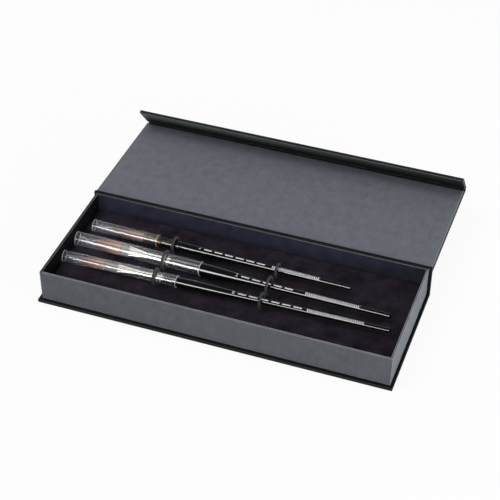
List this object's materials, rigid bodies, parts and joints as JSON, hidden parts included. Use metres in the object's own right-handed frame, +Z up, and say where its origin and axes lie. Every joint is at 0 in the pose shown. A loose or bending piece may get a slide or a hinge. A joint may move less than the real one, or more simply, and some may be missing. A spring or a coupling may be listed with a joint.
{
  "type": "brush box",
  "caption": "Book-style gift box with a hinged lid and turn-down flap, a lined tray with a flocked pad and elastic loops, and artist's brushes in clear sleeves.",
  "frame": {"origin": "Under the centre of the tray, on the flat underside of the case.", "axes": "+X runs along the brushes towards the handle tips, +Y towards the spine and the open lid, +Z up."},
  "size_m": [0.3052, 0.2411, 0.0491],
  "materials": {
    "black_paper": "matte",
    "grey_paper": "matte",
    "dark_paper": "matte",
    "greyboard": "matte",
    "tape": "matte",
    "magnet": "satin",
    "foam": "matte",
    "flock": "matte",
    "elastic": "matte",
    "steel": "satin",
    "lacquered_wood": "gloss",
    "nickel": "polished",
    "hair": "satin",
    "clear_plastic": "gloss",
    "brass_wire": "satin"
  },
  "bodies": {
    "tray": {"base_cover": "black_paper", "base_board": "greyboard", "spine_cover": "black_paper", "spine_board": "greyboard", "lid_hinge_strip": "black_paper", "tray_floor": "greyboard", "tray_front_wall": "greyboard", "tray_back_wall": "greyboard", "tray_left_wall": "greyboard", "tray_right_wall": "greyboard", "tray_magnets": "magnet", "corner_stays": "tape", "tray_wrap": "grey_paper", "tray_lining": "dark_paper", "foam_pad": "foam", "velvet_cover": "flock", "loop_barbs": "steel", "loop_mop_left": "elastic", "loop_mop_right": "elastic", "loop_wide_left": "elastic", "loop_wide_right": "elastic", "loop_slim_left": "elastic", "loop_slim_right": "elastic"},
    "lid": {"lid_cover": "black_paper", "lid_board": "greyboard", "lid_liner": "grey_paper"},
    "flap_crease": {"flap_hinge_strip": "black_paper"},
    "flap": {"flap_cover": "black_paper", "flap_board": "greyboard", "flap_liner": "dark_paper", "flap_magnets": "magnet"},
    "brush_mop": {"mop_handle": "lacquered_wood", "mop_quill": "clear_plastic", "mop_tuft": "hair", "mop_wire_front": "brass_wire", "mop_wire_rear": "brass_wire"},
    "tube_mop": {"mop_tube": "clear_plastic"},
    "brush_wide": {"wide_handle": "lacquered_wood", "wide_ferrule": "nickel", "wide_tuft": "hair"},
    "tube_wide": {"wide_tube": "clear_plastic"},
    "brush_slim": {"slim_handle": "lacquered_wood", "slim_ferrule": "nickel", "slim_tuft": "hair"},
    "tube_slim": {"slim_tube": "clear_plastic"}
  },
  "joints": [
    {"name": "lid_hinge", "type": "hinge", "parent": "tray", "child": "lid", "pos_m": [0, 0.0604, 0.0298], "axis": [1, 0, 0], "range_deg": [-11, 181.5], "deforming": ["lid_hinge_strip"]},
    {"name": "flap_crease", "type": "hinge", "parent": "lid", "child": "flap_crease", "pos_m": [0, 0.17798, 0.02557], "axis": [1, 0, 0], "range_deg": [-80.02, 4.9], "deforming": ["flap_hinge_strip"]},
    {"name": "flap_hinge", "type": "hinge", "parent": "flap_crease", "child": "flap", "pos_m": [0, 0.17798, 0.02557], "axis": [1, 0, 0], "range_deg": [-50, 40]},
    {"name": "brush_mop_slide", "type": "slide", "parent": "tray", "child": "brush_mop", "axis": [0.9999, -0.0105, 0], "range_m": [0, 0.0529]},
    {"name": "tube_mop_slide", "type": "slide", "parent": "brush_mop", "child": "tube_mop", "axis": [0.9999, -0.0105, 0], "range_m": [-0.0081, 0]},
    {"name": "brush_wide_slide", "type": "slide", "parent": "tray", "child": "brush_wide", "axis": [0.9999, -0.0122, 0], "range_m": [0, 0.0131]},
    {"name": "tube_wide_slide", "type": "slide", "parent": "brush_wide", "child": "tube_wide", "axis": [0.9999, -0.0122, 0], "range_m": [-0.0022, 0]},
    {"name": "brush_slim_slide", "type": "slide", "parent": "tray", "child": "brush_slim", "axis": [0.9998, 0.0175, 0], "range_m": [0, 0.0091]},
    {"name": "tube_slim_slide", "type": "slide", "parent": "brush_slim", "child": "tube_slim", "axis": [0.9998, 0.0175, 0], "range_m": [-0.0009, 0]}
  ],
  "couplings": [
    {"joint": "flap_crease", "follows": "lid_hinge", "ratio": -0.44077}
  ]
}
